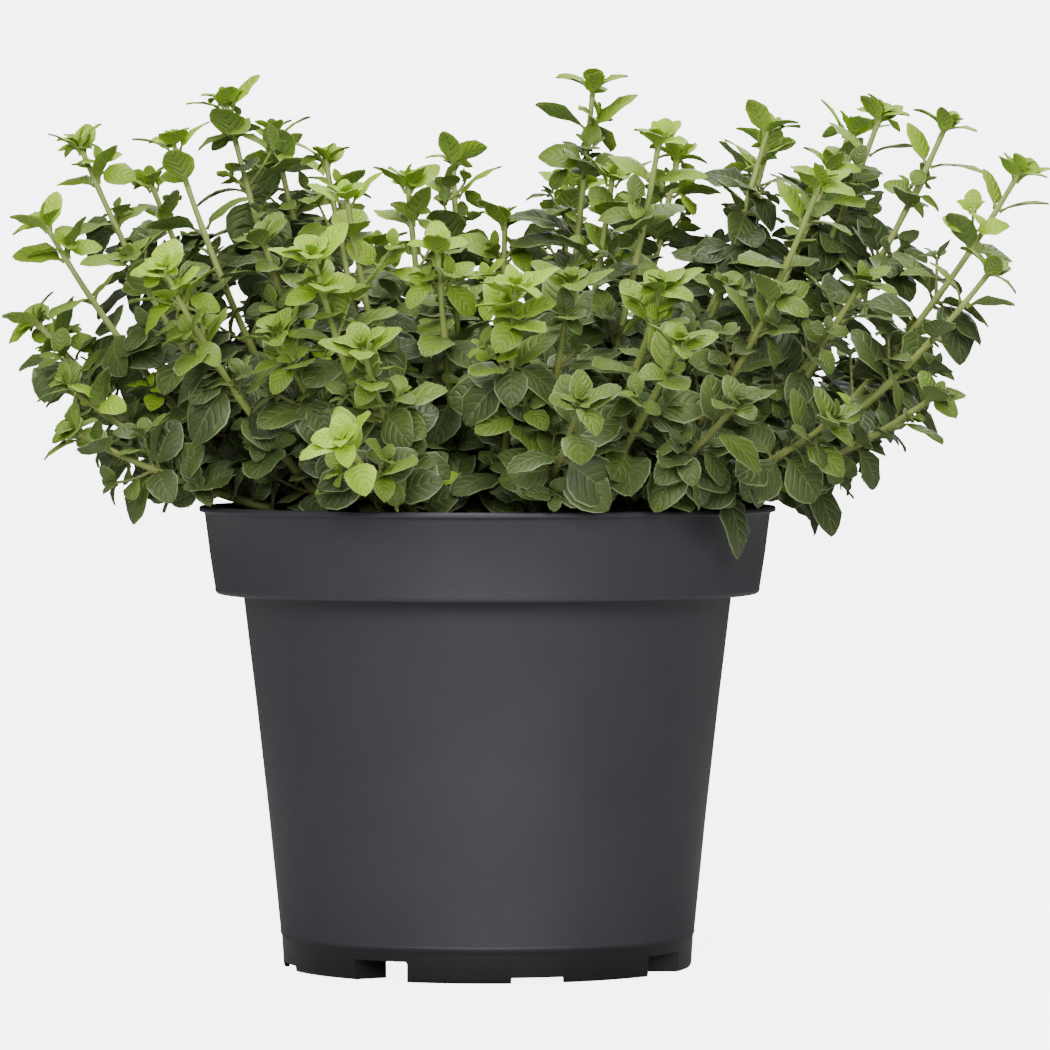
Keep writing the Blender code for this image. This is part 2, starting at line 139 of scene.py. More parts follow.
def add_camera():
    """The camera at EYE, pitched down and turned right by a few tenths of a degree."""
    camera_data = bpy.data.cameras.new("camera")
    camera_data.lens = LENS
    camera_data.clip_end = 50.0
    camera = bpy.data.objects.new("camera", camera_data)
    camera.location = EYE
    camera.rotation_euler = (math.radians(90 - PITCH_DOWN), 0, math.radians(-YAW_RIGHT))
    bpy.context.scene.collection.objects.link(camera)
    bpy.context.scene.camera = camera


def white_surround():
    """A world that is white to the camera and gives the plant only a dim fill."""
    world = bpy.data.worlds.new("studio")
    bpy.context.scene.world = world
    world.use_nodes = True
    sky = world.node_tree
    background = sky.nodes["Background"]
    background.inputs["Color"].default_value = linear("ffffff")
    seen = add_node(sky, "LightPath", output="Is Camera Ray")
    strength = add_node(sky, "MapRange", {"Value": seen, "To Min": 0.12, "To Max": 6.0})
    sky.links.new(strength, background.inputs["Strength"])


add_camera()
floor_sheet()
soft_light("left_softbox", (-0.6, -1.65, 0.8), (0.0, 0.0, 0.12), 0.9, 20.0)
soft_light("right_softbox", (0.5, -1.65, 0.8), (0.0, 0.0, 0.12), 0.9, 19.0)
soft_light("top_softbox", (0.0, -0.2, 1.5), (0.0, 0.0, 0.15), 0.9, 27.0)
soft_light("back_softbox", (0.4, 1.5, 0.9), (0.0, 0.0, 0.12), 0.9, 9.0)
white_surround()


# Pot
# A 13 cm nursery pot, injection moulded in dark polypropylene: rolled lip, deep rim band,
# tapered body, glossier foot skirt. The section is turned, the notches are then cut.
LIP_RADIUS, LIP_HEIGHT = 65.0, 103.8
WALL = 1.2
FOOT_RADIUS = 46.0
FLOOR_HEIGHT = 6.4
NOTCH_TURN, NOTCH_HEIGHT, NOTCH_DEPTH = -31.0, 4.5, 7.0
NOTCH_OUTER, NOTCH_INNER = 14.0, 5.4
STEP_TURN, STEP_HEIGHT, STEP_WIDTH = 14.0, 1.25, 12.0
STEP_DEPTH = 4.0
HOUSING_FOOT, HOUSING_TOP = 0.02, 5.8
DRAIN_CIRCLE, DRAIN_RADIUS, DRAIN_SIDES = 31.0, 3.4, 32
POT_SIDES = 240


def arc(centre, radius, start, end, count):
    """Points of an arc in the pot's section, angles in degrees."""
    a = np.radians(np.linspace(start, end, count))
    return [(centre[0] + radius * math.cos(t), centre[1] + radius * math.sin(t)) for t in a]


def pot_section():
    """Radius and height, up the inner side, over the lip and down the outer side to the axis."""
    return np.array([
        (0, 1.2), (16.4, 1.2), (17.2, 1.6), (18.2, 6.0), (18.9, 6.4), (43.6, 6.4), (45.0, 7.4),
        (53.6, 84.0), (54.2, 85.2), (59.6, 85.2), (60.2, 85.8), (62.4, 102.9),
        *arc((62.9, LIP_HEIGHT - 0.5), 0.5, 180, 90, 4), *arc((64.5, LIP_HEIGHT - 0.5), 0.5, 90, 0, 4),
        *arc((64.6, 102.9), 0.4, 0, -80, 4), (64.0, 102.45), (63.75, 102.0),
        (62.6, 93.0), (61.45, 85.6), *arc((60.35, 85.1), 1.1, 0, -86, 6),
        (55.6, 84.0), (55.15, 83.7), (54.95, 83.0), (52.2, 60.0), (49.3, 34.0), (46.75, 8.2),
        *arc((46.35, 7.7), 0.45, 30, -60, 4), (46.45, 6.9), (46.4, 6.0), (46.1, 1.0),
        (45.95, 0.2), (45.75, 0.0), (44.95, 0.0), (44.8, 0.2), (45.0, 4.6), (44.4, 5.2),
        (19.8, 5.2), (19.4, 4.8), (18.4, 0.3), (18.1, 0.0), (0, 0)])


def turned_faces(rows, sides):
    """Quads between rings of points, closed round."""
    ring = np.arange(sides)
    after = (ring + 1) % sides
    faces = []
    for row in range(rows - 1):
        low, high = row * sides, (row + 1) * sides
        faces += np.stack([low + ring, high + ring, high + after, low + after], 1).tolist()
    return faces


def turned_shell(section, sides):
    """A section carried round the axis: x = r cos a, y = r sin a, and a fan to each pole."""
    angle = np.linspace(0, 2 * math.pi, sides, endpoint=False)
    radius, height = section[1:-1, 0:1], section[1:-1, 1:2]
    grid = np.stack([radius * np.cos(angle), radius * np.sin(angle), height + 0 * angle], -1).reshape(-1, 3)
    poles = np.array([[0, 0, section[0, 1]], [0, 0, section[-1, 1]]])
    faces = turned_faces(len(section) - 2, sides)
    first, last = len(grid), len(grid) + 1
    ring = np.arange(sides)
    after = (ring + 1) % sides
    edge = (len(section) - 3) * sides
    faces += [(first, int(a), int(b)) for a, b in zip(ring, after)]
    faces += [(last, int(edge + b), int(edge + a)) for a, b in zip(ring, after)]
    return np.concatenate([grid, poles]), faces


def wedge_block(azimuth, outer, inner, low, high):
    """Eight corners of a block along a radius; outer and inner are (radius, width)."""
    corners = [(radius, side * width / 2, z) for radius, width in (outer, inner)
               for side in (-1, 1) for z in (low, high)]
    a = math.radians(azimuth - 90)
    turn = np.array([[math.cos(a), math.sin(a), 0], [-math.sin(a), math.cos(a), 0], [0, 0, 1]])
    faces = [(0, 2, 3, 1), (4, 5, 7, 6), (0, 1, 5, 4), (2, 6, 7, 3), (1, 3, 7, 5), (0, 4, 6, 2)]
    return np.array(corners) @ turn, faces


def drain_hole(azimuth):
    """A round cutter through the floor: a ring x = r cos a, y = r sin a at two heights."""
    a = np.linspace(0, 2 * math.pi, DRAIN_SIDES, endpoint=False)
    centre = DRAIN_CIRCLE * np.array([math.cos(azimuth), math.sin(azimuth)])
    ring = centre + DRAIN_RADIUS * np.stack([np.cos(a), np.sin(a)], 1)
    points = np.concatenate([np.column_stack([ring, np.full(DRAIN_SIDES, z)])
                             for z in (FLOOR_HEIGHT - 3.4, FLOOR_HEIGHT + 2.6)])
    k = np.arange(DRAIN_SIDES)
    after = (k + 1) % DRAIN_SIDES
    sides = np.stack([k, after, after + DRAIN_SIDES, k + DRAIN_SIDES], 1).tolist()
    return points, [*sides, k[::-1].tolist(), (k + DRAIN_SIDES).tolist()]


def joined(pieces):
    """Several (points, faces) as one pair."""
    points, faces, start = [], [], 0
    for some_points, some_faces in pieces:
        points.append(some_points)
        faces += [[start + int(k) for k in face] for face in some_faces]
        start += len(some_points)
    return np.concatenate(points), faces


def apply_boolean(thing, cutter, operation):
    """Cut or join with an exact Boolean, keep the result as the mesh, drop the cutter."""
    step = thing.modifiers.new("cut", "BOOLEAN")
    step.operation, step.object, step.solver = operation, cutter, "EXACT"
    shaped = bpy.data.meshes.new_from_object(thing.evaluated_get(bpy.context.evaluated_depsgraph_get()))
    thing.modifiers.clear()
    thing.data = shaped
    bpy.data.objects.remove(cutter)


def notch_width(radius):
    """Width of a drain notch, which narrows inwards."""
    return NOTCH_OUTER - (NOTCH_OUTER - NOTCH_INNER) / NOTCH_DEPTH * (FOOT_RADIUS - radius)


def polypropylene():
    """Dark, slightly violet moulded polypropylene: matt and finely grained, glossier at the foot.

    The grain is drawn at about 0.4 mm, coarser than the real one, so that it shows. The foot below about 7
    mm is painted near-black, which is painted shade.
    """
    material, tree, shader = new_material("moulded_polypropylene", Roughness=0.5, IOR=1.49)
    place = add_node(tree, "TexCoord", output="Object")
    height = add_node(tree, "SeparateXYZ", {"Vector": place}, "Z")
    cloud = add_node(tree, "TexNoise", {"Vector": place, "Scale": 38.0, "Detail": 4.0})
    long_place = add_node(tree, "Mapping", {"Vector": place, "Scale": (1.0, 1.0, 0.08)})
    streak = add_node(tree, "TexNoise", {"Vector": long_place, "Scale": 240.0, "Detail": 3.0})
    body = add_node(tree, "ValToRGB", {"Fac": cloud}, stops=[(0.3, "2f2e35"), (0.7, "34333a")])
    trace = add_node(tree, "Math", {0: streak, 1: 0.25}, operation="MULTIPLY")
    body = add_node(tree, "Mix", {0: trace, 6: body, 7: "3a3940"}, 2, data_type="RGBA")
    # painted shade: below about 7 mm the foot takes a near-black colour in place of the body's; the same
    # mask makes it glossier
    above = add_node(tree, "MapRange", {"Value": height, "From Min": 0.0068, "From Max": 0.0074})
    colour = add_node(tree, "Mix", {0: above, 6: "141416", 7: body}, 2, data_type="RGBA")
    tree.links.new(colour, shader.inputs["Base Color"])
    matt = add_node(tree, "MapRange", {"Value": cloud, "To Min": 0.44, "To Max": 0.56})
    rough = add_node(tree, "Mix", {0: above, 2: 0.33, 3: matt}, data_type="FLOAT")
    tree.links.new(rough, shader.inputs["Roughness"])
    grain = add_node(tree, "TexNoise", {"Vector": place, "Scale": 2600.0, "Detail": 2.0})
    wave = add_node(tree, "TexNoise", {"Vector": place, "Scale": 60.0, "Detail": 2.0})
    relief = add_node(tree, "Math", {0: wave, 1: 2.0, 2: grain}, operation="MULTIPLY_ADD")
    bump = add_node(tree, "Bump", {"Height": relief, "Strength": 0.35, "Distance": 0.00012})
    tree.links.new(bump, shader.inputs["Normal"])
    return material


def build_pot():
    """Turned shell, four notch housings joined, notches, steps and drain holes cut."""
    plastic = polypropylene()
    pot = write_mesh("nursery_pot", *turned_shell(pot_section(), POT_SIDES), plastic)
    inside = FOOT_RADIUS - NOTCH_DEPTH
    housings, cuts = [], []
    for quarter in range(4):
        azimuth = NOTCH_TURN + 90 * quarter
        housings.append(wedge_block(
            azimuth, (FOOT_RADIUS - 1.0, notch_width(FOOT_RADIUS - 1.0) + 2 * WALL),
            (inside, NOTCH_INNER + 2 * WALL), HOUSING_FOOT, HOUSING_TOP))
        cuts.append(wedge_block(azimuth, (FOOT_RADIUS + 2, notch_width(FOOT_RADIUS + 2)),
                                (inside - 1, notch_width(inside - 1)), -1.0, NOTCH_HEIGHT))
        cuts.append(wedge_block(STEP_TURN + 90 * quarter, (FOOT_RADIUS + 2, STEP_WIDTH),
                                (FOOT_RADIUS - STEP_DEPTH, STEP_WIDTH), -1.0, STEP_HEIGHT))
        cuts.append(drain_hole(math.radians(STEP_TURN + 90 * quarter)))
    apply_boolean(pot, write_mesh("housings", *joined(housings), plastic), "UNION")
    apply_boolean(pot, write_mesh("cuts", *joined(cuts), plastic), "DIFFERENCE")
    pot.data.shade_smooth()
    pot.data.set_sharp_from_angle(angle=math.radians(35))
    return pot


pot = build_pot()
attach(pot, "root")
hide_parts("pot")


# Soil
# Dark peat that has settled a few millimetres under the lip: an uneven crumbly surface,
# with loose crumbs of peat and bark lying on it.
SOIL_TOP = 99.3
SOIL_SIDES, SOIL_RINGS = 150, 62
CRUMBS, CRUMB_REACH = 420, 60.0


def lumps(x, y, seed):
    """Smooth unevenness, about -1 to 1: eight sine waves in random directions, added, over four."""
    draw = np.random.RandomState(seed)
    total = np.zeros_like(x)
    for wave in range(8):
        a, phase = draw.uniform(0, 2 * math.pi, 2)
        turn = 2 * math.pi / draw.uniform(3.0, 22.0)
        total = total + np.sin((x * math.cos(a) + y * math.sin(a)) * turn + phase)
    return total / 4.0


def build_soil():
    """The side follows the pot's wall; the top is a disc lifted by lumps of two sizes."""
    angle = np.linspace(0, 2 * math.pi, SOIL_SIDES, endpoint=False)
    side = [(15.8, 1.5), (17.6, 6.7), (44.0, 6.7), (52.9, 85.4), (59.3, 85.5), (60.9, 98.4)]
    radii = np.concatenate([[r for r, _ in side], np.linspace(60.6, 0.8, SOIL_RINGS)])[:, None]
    heights = np.concatenate([[z for _, z in side], np.full(SOIL_RINGS, SOIL_TOP)])[:, None]
    x, y = radii * np.cos(angle), radii * np.sin(angle)
    rough = 0.75 * lumps(x, y, 3) + 0.35 * lumps(x * 3, y * 3, 4)
    z = heights + np.where(np.arange(len(radii))[:, None] >= len(side), rough, 0)
    grid = np.stack([x, y, z], -1).reshape(-1, 3)
    ring = np.arange(SOIL_SIDES)
    faces = turned_faces(len(radii), SOIL_SIDES)
    faces += [ring.tolist(), (len(grid) - 1 - ring).tolist()]
    return grid, [face[::-1] for face in faces]


def crumb(place, size, draw):
    """An eight-cornered lump, squashed and turned at random."""
    corners = np.array([(a, b, c) for a in (-1, 1) for b in (-1, 1) for c in (-1, 1)], float)
    corners = corners * draw.uniform(0.35, 1.0, (8, 3)) * (1, draw.uniform(0.5, 1), draw.uniform(0.4, 0.8))
    turn = draw.uniform(0, math.pi)
    spin = np.array([[math.cos(turn), math.sin(turn), 0], [-math.sin(turn), math.cos(turn), 0], [0, 0, 1]])
    faces = [(0, 1, 3, 2), (4, 6, 7, 5), (0, 4, 5, 1), (2, 3, 7, 6), (0, 2, 6, 4), (1, 5, 7, 3)]
    return corners @ spin * size + place, faces


def peat():
    """Moist dark peat: brown to nearly black and rough, in clods of a few millimetres."""
    material, tree, shader = new_material("moist_peat", Roughness=0.95)
    place = add_node(tree, "TexCoord", output="Object")
    clod = add_node(tree, "TexNoise", {"Vector": place, "Scale": 420.0, "Detail": 6.0})
    colour = add_node(tree, "ValToRGB", {"Fac": clod},
                      stops=[(0.3, "120d08"), (0.55, "2b1f15"), (0.75, "4a3524")])
    tree.links.new(colour, shader.inputs["Base Color"])
    bump = add_node(tree, "Bump", {"Height": clod, "Strength": 0.9, "Distance": 0.0006})
    tree.links.new(bump, shader.inputs["Normal"])
    return material


peat_material = peat()
soil = write_mesh("peat_soil", *build_soil(), peat_material, 60.0)
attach(soil, "root")
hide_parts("soil")


def scattered_crumbs():
    """Crumbs spread evenly over the soil's disc: the radius goes by the root of the draw."""
    draw = np.random.RandomState(11)
    pieces = []
    for _ in range(CRUMBS):
        reach, around = CRUMB_REACH * math.sqrt(draw.uniform(0, 1)), draw.uniform(0, 2 * math.pi)
        spot = np.array([reach * math.cos(around), reach * math.sin(around), SOIL_TOP + 0.4])
        pieces.append(crumb(spot, draw.uniform(0.5, 1.7), draw))
    return joined(pieces)


crumbs = write_mesh("peat_crumbs", *scattered_crumbs(), peat_material, 30.0)
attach(crumbs, "root")


# Plan of the leafy stems
# The same rule that the solids follow places every stem and every larger leaf, so that
# each fine piece takes the place of its solid. Millimetres; the front faces -Y.
BASE_SHARE = 0.46
COLLAR, ROOT_END = 101.6, 91.0
STEM_ROOT, STEM_TIP = 1.15, 0.6
TIPS = {
    "left_high": (-93, 16, 186, 6), "left_bright": (-100, -2, 168, 6),
    "left_low": (-104, 24, 146, 5), "left_side": (-94, -15, 131, 5),
    "left_trailing": (-92, -29, 121, 5), "crown_left": (-71, 2, 186, 6),
    "crown_top": (-60, 26, 196, 5), "crown_back": (-50, 58, 190, 5),
    "crown_rear": (-78, 40, 178, 5), "front_left_bright": (-71, -45, 157, 7),
    "hairy": (-31, -40, 173, 7), "left_middle": (-37, 18, 183, 3),
    "middle_pale": (-18, -4, 177, 4), "middle_front": (-11, -40, 162, 5),
    "front_fork": (-38, -58, 160, 6), "front_low": (-27, -70, 140, 6),
    "front_shoot": (-31, -85, 120, 4), "front_bright": (6, -68, 153, 7),
    "centre_tall": (24, 8, 199, 5), "back_left": (-8, 50, 184, 5),
    "centre_left": (4, 16, 169, 3), "back_centre": (20, 70, 178, 5),
    "centre_front": (28, -14, 178, 3), "centre_pale": (38, -34, 186, 6),
    "front_centre": (18, -60, 154, 6), "front_right_tall": (38, -60, 153, 6),
    "front_right_pale": (41, -78, 141, 6), "right_crown": (64, 14, 190, 4),
    "right_rear": (66, 58, 187, 5), "right_bare": (73, -43, 176, 5),
    "right_back": (84, 38, 190, 5), "right_high": (90, 20, 193, 5),
    "right_reaching": (104, 8, 190, 6), "right_far": (119, -15, 179, 6),
    "right_outer": (112, -25, 157, 6), "right_low": (99, -34, 129, 5),
    "right_hanging": (84, -2, 116, 5), "right_front": (82, -47, 154, 6),
    "right_inner": (52, -34, 153, 4), "right_mid": (63, -53, 151, 6),
    "back_right": (44, 36, 184, 4), "right_twig": (78, 9, 181, 4),
    "right_lower": (99, 36, 143, 5), "left_inner": (-50, -20, 164, 4),
    "left_shelf": (-80, -15, 160, 5), "left_front": (-46, -52, 143, 6),
    "centre_low": (-7, -22, 150, 3), "rim_centre": (20, -84, 128, 5),
    "rim_right": (54, -72, 128, 5), "rim_far_right": (75, -62, 124, 5),
    "rear_left_low": (-84, 54, 134, 5), "rear_left": (-52, 78, 147, 5),
    "rear_rim_left": (-24, 92, 125, 5), "rear_middle": (-26, 70, 164, 5),
    "rear_rim": (10, 92, 138, 5), "rear_right": (44, 82, 150, 5),
    "rear_rim_right": (72, 76, 124, 5), "rear_right_low": (92, 60, 136, 5),
}
PAIR_STEPS = (2.6, 7.5, 11.0, 13.5, 14.5, 15.0, 15.0)
LEAF_LENGTHS = (8.0, 10.0, 12.0, 13.5, 14.5, 15.0, 15.0)
LEAF_ASPECTS = (0.52, 0.58, 0.64, 0.68, 0.72, 0.74, 0.74)
LEAF_RISES = (48.0, 38.0, 26.0, 16.0, 8.0, 2.0, -4.0)
VARIANTS = ((0, 0, 1), (14, 10, 1), (-14, 10, 1), (0, -22, 1), (0, 24, 0.95), (26, -12, 0.9),
            (-26, -12, 0.9), (24, 20, 0.85), (-24, 20, 0.85), (0, -38, 0.8), (0, 40, 0.8))
CLEAR_OTHER, CLEAR_OWN, CLEAR_STEM = 2.5, 1.6, 2.8


def unit(v):
    """A vector, or rows of vectors, at length one."""
    return v / np.linalg.norm(v, axis=-1, keepdims=True)


def spun(v, axis, degrees):
    """A vector turned about a unit axis (Rodrigues' formula)."""
    a = math.radians(degrees)
    return v * math.cos(a) + np.cross(axis, v) * math.sin(a) + axis * (axis @ v) * (1 - math.cos(a))


def stem_point(tip, u):
    """Quadratic curve from the collar above the soil to the tip: outwards first, then up."""
    base = np.array([tip[0] * BASE_SHARE, tip[1] * BASE_SHARE, COLLAR])
    top = np.array(tip[:3], float)
    bend = base + (top - base) * (0.60, 0.60, 0.42)
    u = np.asarray(u, float)[..., None]
    return base * (1 - u) ** 2 + bend * 2 * u * (1 - u) + top * u ** 2


def stem_stations(tip):
    """Curve parameters of the leaf pairs, from the tip down, by the arc length."""
    u = np.linspace(0, 1, 161)
    points = stem_point(tip, u)
    below = np.linalg.norm(np.diff(points, axis=0), axis=1)[::-1].cumsum()
    depths = np.cumsum(PAIR_STEPS)[:tip[3]]
    depths = depths[depths < below[-1] - 3.0]
    return 1.0 - np.interp(depths, below, u[1:])


def carried_sides(tangents, start):
    """Side directions along a path, each the last one made square to the new tangent."""
    sides = []
    for tangent in tangents:
        start = unit(start - tangent * (start @ tangent))
        sides.append(start)
    return np.array(sides)


def stem_frames(tip, stations, spin):
    """Tangent and the first side direction at each station, carried up without twist."""
    step = 0.004
    tangents = unit(stem_point(tip, stations + step) - stem_point(tip, stations - step))
    return tangents, carried_sides(tangents, np.array([math.cos(spin), math.sin(spin), 0.0]))


def blade_half_width(leaf, t):
    """Ovate outline: a short stalk, then a power of a sine, widest before the middle."""
    u = np.clip((t - 0.13) / 0.87, 0, 1)
    return np.maximum(0.5 * leaf["width"] * np.sin(np.pi * u ** 0.72) ** 0.75, 0.42 * (1 - u))


def blade_point(leaf, t, s):
    """Point of the blade: t from the root to the tip, s from -1 to 1 across it.

    The midrib is a parabola that droops away from the leaf's own direction, and the
    two halves rise from it as a shallow V.
    """
    t, s = np.broadcast_arrays(np.asarray(t, float), np.asarray(s, float))
    half = blade_half_width(leaf, t)
    rib = leaf["direction"] * t[..., None] - leaf["normal"] * (leaf["arch"] * t * t)[..., None]
    normal = unit(leaf["normal"] + leaf["direction"] * (2 * leaf["arch"] * t)[..., None])
    across = leaf["side"] * (s * half)[..., None]
    return leaf["root"] + leaf["length"] * rib + across + normal * (leaf["fold"] * half * abs(s))[..., None]


def make_leaf(root, face, tangent, length, width, rise, roll, arch, fold, sky=(0.0, -0.25, 0.9)):
    """A leaf that leaves a side of the stem and turns its upper face to the light."""
    a = math.radians(rise)
    direction = unit(face * math.cos(a) + tangent * math.sin(a))
    light = unit(tangent + np.array(sky))
    side = spun(unit(np.cross(direction, light)), direction, roll)
    return {"root": root, "direction": direction, "side": side, "normal": np.cross(side, direction),
            "length": length, "width": width, "arch": arch, "fold": fold}


def blade_samples(leaf):
    """Five by five points of the blade, which stand for it in the test for room."""
    t, s = np.meshgrid(np.linspace(0.28, 1.0, 5), np.linspace(-1, 1, 5))
    return blade_point(leaf, t, s).reshape(-1, 3)


def above_pot(points):
    """True if no point is in the soil, in the pot or close to its lip."""
    radius = np.hypot(points[:, 0], points[:, 1])
    return not np.any((radius < LIP_RADIUS + 2.5) & (points[:, 2] < LIP_HEIGHT + 1.8))


def has_room(points, owner, placed):
    """True if the blade keeps clear of every leaf and every other stem placed so far."""
    middle = points.mean(axis=0)
    for other_owner, centre, cloud, clearance in placed:
        if np.abs(centre - middle).max() > 26.0 and clearance != CLEAR_STEM:
            continue
        if clearance == CLEAR_STEM and other_owner == owner:
            continue
        limit = CLEAR_OWN if other_owner == owner else clearance
        near = cloud[np.abs(cloud - middle).max(axis=1) < 14.0]
        if len(near) and np.linalg.norm(near[:, None] - points[None], axis=2).min() < limit:
            return False
    return above_pot(points)


def stem_half(stem, ring):
    """Half the side of the square stem at a ring of leaves."""
    return STEM_ROOT + (STEM_TIP - STEM_ROOT) * stem["stations"][ring]


def place_pair(stem, name, index, level, placed):
    """The two opposite leaves of one level, counted from the tip, where they find room."""
    count = len(stem["stations"])
    if level >= count:
        return
    ring = count - 1 - level
    draw = np.random.RandomState(1000 + 20 * index + level)
    tangent, side = stem["tangents"][ring], stem["sides"][ring]
    root = stem_point(stem["tip"], stem["stations"][ring])
    narrow = 0.8 if stem["tip"][0] > 75 and stem["tip"][2] > 150 else 1.0
    for half in (0, 2):
        corner = (level % 2 + half) % 4
        length = LEAF_LENGTHS[level] * draw.uniform(0.88, 1.1)
        width = length * LEAF_ASPECTS[level] * narrow * draw.uniform(0.92, 1.08)
        rise = LEAF_RISES[level] + draw.uniform(-14, 12)
        roll, swing = draw.uniform(-22, 22), draw.uniform(-12, 12)
        arch, fold = draw.uniform(0.08, 0.34), draw.uniform(0.12, 0.34)
        for turn, lift, shrink in VARIANTS:
            face = spun(side, tangent, 90 * corner)
            aim = spun(face, tangent, swing + turn)
            steep = min(max(rise + lift, -28), 58 if level else 48)
            leaf = make_leaf(root + face * stem_half(stem, ring), aim, tangent, length * shrink,
                             width * shrink, steep, roll, arch, fold)
            points = blade_samples(leaf)
            if has_room(points, name, placed):
                placed.append((name, points.mean(axis=0), points, CLEAR_OTHER))
                stem["leaves"][ring, corner] = leaf
                break


def plan_plant():
    """Every stem with its stations, frames and leaves, placed in one fixed order."""
    placed = []
    stems = {}
    for index, (name, tip) in enumerate(TIPS.items()):
        path = stem_point(tip, np.linspace(0, 1, 50))
        placed.append((name, path.mean(axis=0), path, CLEAR_STEM))
        spin = np.random.RandomState(100 + index).uniform(0, math.pi / 2)
        order = stem_stations(tip)[::-1]
        tangents, sides = stem_frames(tip, order, spin)
        stems[name] = {"tip": tip, "spin": spin, "stations": order, "tangents": tangents,
                       "sides": sides, "leaves": {}}
    for level in range(len(PAIR_STEPS)):
        for index, (name, stem) in enumerate(stems.items()):
            place_pair(stem, name, index, level, placed)
    return stems


stems = plan_plant()


# Leafy stems
# Oregano as it grew: a square, downy stem, pairs of ovate leaves on short stalks, small
# shoots in their axils and a tight tuft of young leaves at the tip. One piece per stem.
BLADE_ROWS = np.array([0, 0.1, 0.19, 0.32, 0.5, 0.69, 0.86, 0.96, 1.0])
SMALL_ROWS = np.array([0, 0.13, 0.22, 0.38, 0.6, 0.8, 0.94, 1.0])
ACROSS = np.array([-1, -0.55, 0, 0.55, 1, 0.55, 0, -0.55])
SMALL_ACROSS = np.array([-1, -0.55, 0, 0.55, 1, 0])
BLADE_THICKNESS, STALK_THICKNESS = 0.34, 0.85
FILL_VARIANTS = ((0, 0, 1), (22, -14, 0.92), (-22, 14, 0.92), (0, -30, 0.85), (40, 20, 0.8),
                 (-40, -20, 0.8))
TUFT_PAIRS = ((90, 7.4, 30, 1.6), (0, 5.8, 46, 0.9), (90, 4.0, 60, 0.4), (0, 2.6, 74, 0.0))
SHOOT_PAIRS = ((1.0, 0.5, 60, 0), (1.0, 0.8, 38, 90), (0.6, 1.0, 12, 0))
LOW_STEP = 8.5
YOUNG = {
    "front_left_bright": 1.0, "hairy": 1.0, "front_bright": 1.0, "front_shoot": 1.0, "left_bright": 0.9,
    "middle_front": 0.95, "centre_pale": 0.95, "front_fork": 0.95, "rim_centre": 0.42, "rim_right": 0.3,
    "rim_far_right": 0.36, "right_low": 0.42, "right_hanging": 0.3, "right_inner": 0.45,
    "right_mid": 0.46, "right_front": 0.5, "front_right_pale": 0.62, "left_shelf": 0.5,
    "left_side": 0.5, "left_inner": 0.5, "centre_low": 0.45, "front_centre": 0.55,
    "front_right_tall": 0.7, "right_lower": 0.5, "left_front": 0.6, "left_trailing": 0.5}
LEVEL_TONES = (1.0, 0.82, 0.5, 0.27, 0.14, 0.08, 0.05)
SHOOT_TONES = (0.95, 0.8, 0.58, 0.38, 0.26, 0.2, 0.16)
LEVEL_LENGTHS = (1.26, 1.2, 1.1, 1.05, 1.0, 1.0, 1.0)
LEVEL_WIDTHS = (1.42, 1.32, 1.18, 1.12, 1.06, 1.05, 1.05)
BARE_SHARES = (0.6, 0.42, 0.3, 0.1, 0.0, 0.0, 0.0)
BARE_STEMS = {"left_high", "left_bright", "crown_left", "hairy", "centre_tall", "centre_pale", "right_bare",
              "right_back", "right_high", "right_reaching", "right_far", "right_outer", "right_twig",
              "right_crown", "front_centre"}


class Crowd:
    """The points of all that stands so far, for the test whether a leaf has room."""

    def __init__(self, clouds):
        self.points = np.concatenate(clouds)

    def take(self, leaf, clearance, basal=False):
        """True if a leaf finds room; its points then join the others.

        Basal leaves may stand in the pot, over the soil and clear of the wall.
        """
        t, s = np.meshgrid((0.4, 0.6, 0.8, 1.0), (-0.9, 0.0, 0.9))
        points = blade_point(leaf, t, s).reshape(-1, 3)
        low, high = points.min(axis=0) - clearance, points.max(axis=0) + clearance
        near = self.points[np.all((self.points > low) & (self.points < high), axis=1)]
        if len(near) and np.linalg.norm(near[:, None] - points, axis=2).min() < clearance:
            return False
        radius = np.hypot(points[:, 0], points[:, 1])
        at_wall = np.any((radius > 58.0) & (points[:, 2] < LIP_HEIGHT + 1.5))
        if basal and (low[2] < SOIL_TOP + 1.6 or at_wall):
            return False
        if not basal and (low[2] < LIP_HEIGHT - 1 or not above_pot(points)):
            return False
        self.points = np.concatenate([self.points, points])
        return True


